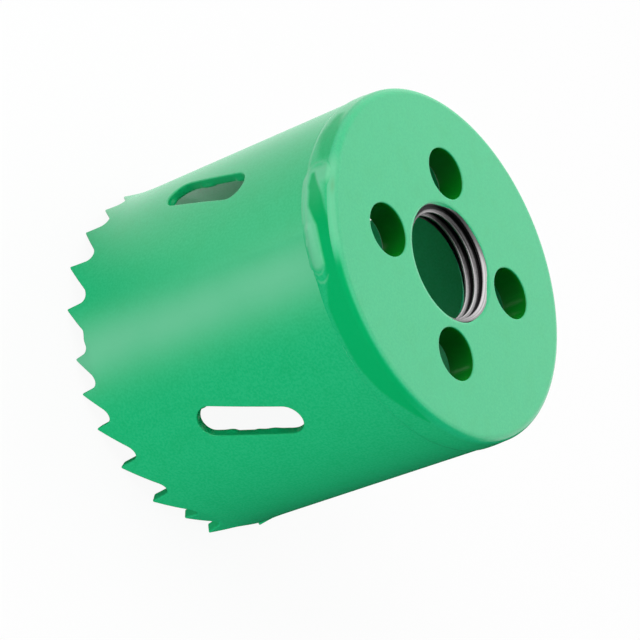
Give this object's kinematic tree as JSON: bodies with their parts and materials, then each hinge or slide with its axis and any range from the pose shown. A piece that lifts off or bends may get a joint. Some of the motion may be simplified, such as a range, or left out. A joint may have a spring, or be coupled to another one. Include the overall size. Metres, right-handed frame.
{
  "type": "hole saw",
  "caption": "Cup-shaped saw with a toothed rim, slanted side slots and a welded end plate that screws onto an arbor.",
  "frame": {"origin": "on the saw's axis, in the plane of the tooth tips, which is what the saw stands on", "axes": "+Z along the saw's axis from the tooth tips to the end cap; +X and +Y each pass through one of the four drive-pin holes"},
  "size_m": [0.0493, 0.0494, 0.046],
  "materials": {
    "cap_enamel": "gloss green enamel on a thick steel plate",
    "shell_enamel": "gloss green enamel on steel strip",
    "weld_enamel": "gloss green enamel over an uneven weld bead"
  },
  "bodies": {
    "root": {"end_cap": "cap_enamel", "saw_shell": "shell_enamel", "weld_bead": "weld_enamel"}
  },
  "joints": []
}
